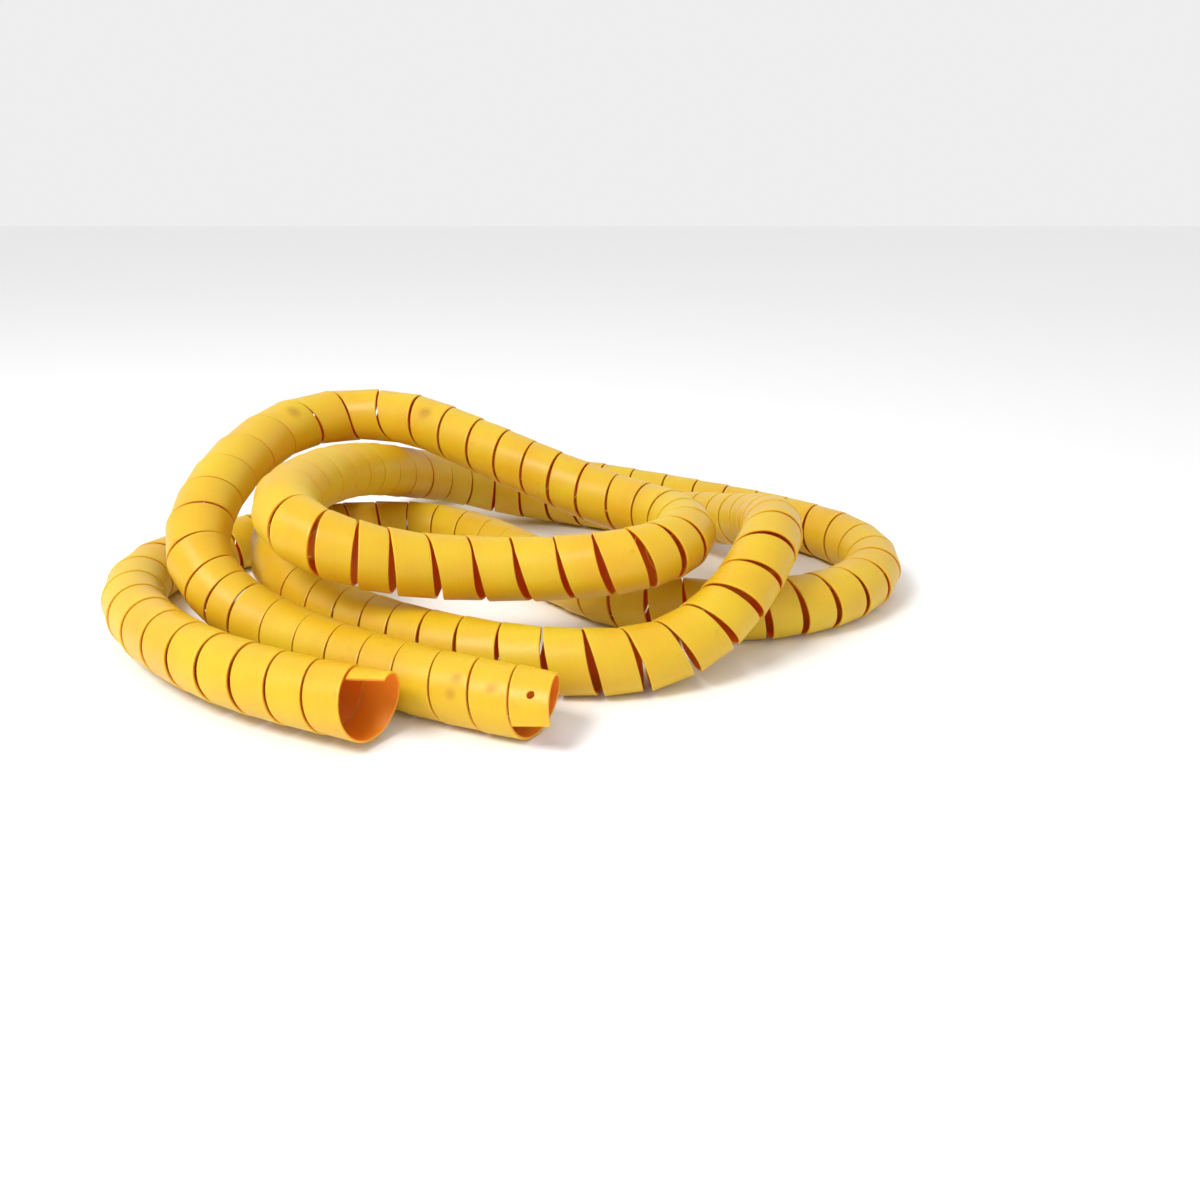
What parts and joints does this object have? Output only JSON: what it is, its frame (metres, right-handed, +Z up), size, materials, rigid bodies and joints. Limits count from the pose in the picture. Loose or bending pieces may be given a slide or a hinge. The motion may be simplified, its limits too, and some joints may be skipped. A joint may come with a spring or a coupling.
{
  "type": "spiral hose guard",
  "caption": "Springy plastic strip wound into a spiral sleeve that wraps hoses or cables, lying in loose loops, with a small fixing hole by one mouth.",
  "frame": {"origin": "on the floor the sleeve lies on, under the middle of its bounding box", "axes": "+Z up, +X along the longest side of the pile, -Y the side with both open mouths"},
  "size_m": [0.7013, 0.6494, 0.157],
  "materials": {
    "sleeve": "smooth extruded polyethylene, satin, lightly scuffed"
  },
  "bodies": {
    "root": {"mouth_a": "sleeve", "sleeve_01": "sleeve", "sleeve_02": "sleeve", "sleeve_03": "sleeve", "sleeve_04": "sleeve", "sleeve_05": "sleeve", "sleeve_06": "sleeve", "sleeve_07": "sleeve", "sleeve_08": "sleeve", "sleeve_09": "sleeve", "sleeve_10": "sleeve", "sleeve_11": "sleeve", "sleeve_12": "sleeve", "sleeve_13": "sleeve", "sleeve_14": "sleeve", "sleeve_15": "sleeve", "sleeve_16": "sleeve", "sleeve_17": "sleeve", "sleeve_18": "sleeve", "sleeve_19": "sleeve", "sleeve_20": "sleeve", "sleeve_21": "sleeve", "sleeve_22": "sleeve", "sleeve_23": "sleeve", "sleeve_24": "sleeve", "sleeve_25": "sleeve", "mouth_b": "sleeve"}
  },
  "joints": []
}
